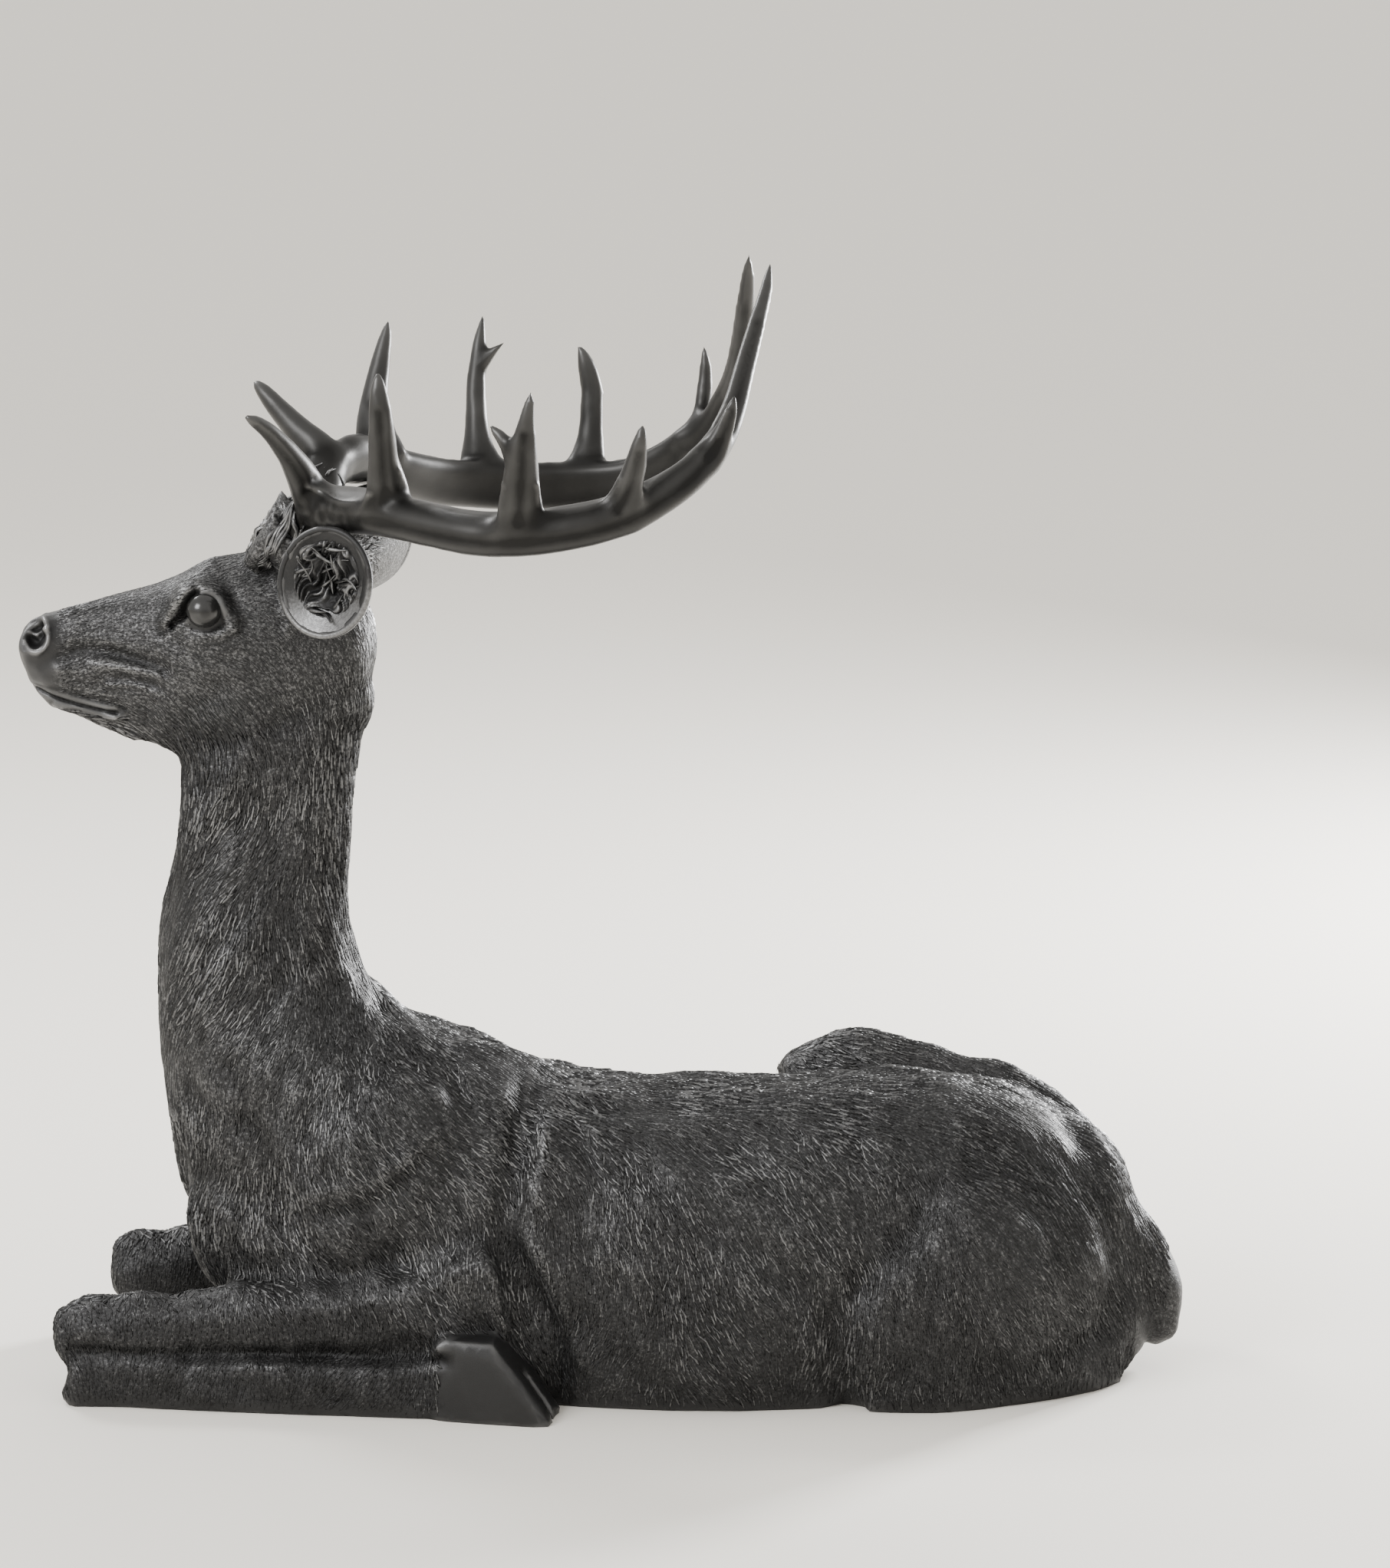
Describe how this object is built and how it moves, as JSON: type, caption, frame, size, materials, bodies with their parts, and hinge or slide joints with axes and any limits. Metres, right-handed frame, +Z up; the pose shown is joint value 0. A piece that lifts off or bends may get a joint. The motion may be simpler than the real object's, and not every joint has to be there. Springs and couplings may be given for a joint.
{
  "type": "cast iron stag statue",
  "caption": "Life-size cast iron statue of a stag lying on the ground with its head raised and branching antlers.",
  "frame": {"origin": "on the flat underside of the trunk, at ground level, in the figure's middle plane", "axes": "+Z up, the stag faces -X and its left side is at -Y"},
  "size_m": [1.4046, 0.7659, 1.3459],
  "materials": {
    "coat_iron": "blackened cast iron, fine chiselled hair with silver-grey rubbed crests and black hollows, satin",
    "antler_iron": "blackened cast iron, smooth satin with shallow lengthwise gutters"
  },
  "bodies": {
    "root": {"stag_body": "coat_iron", "antler_left": "antler_iron", "antler_right": "antler_iron"}
  },
  "joints": []
}
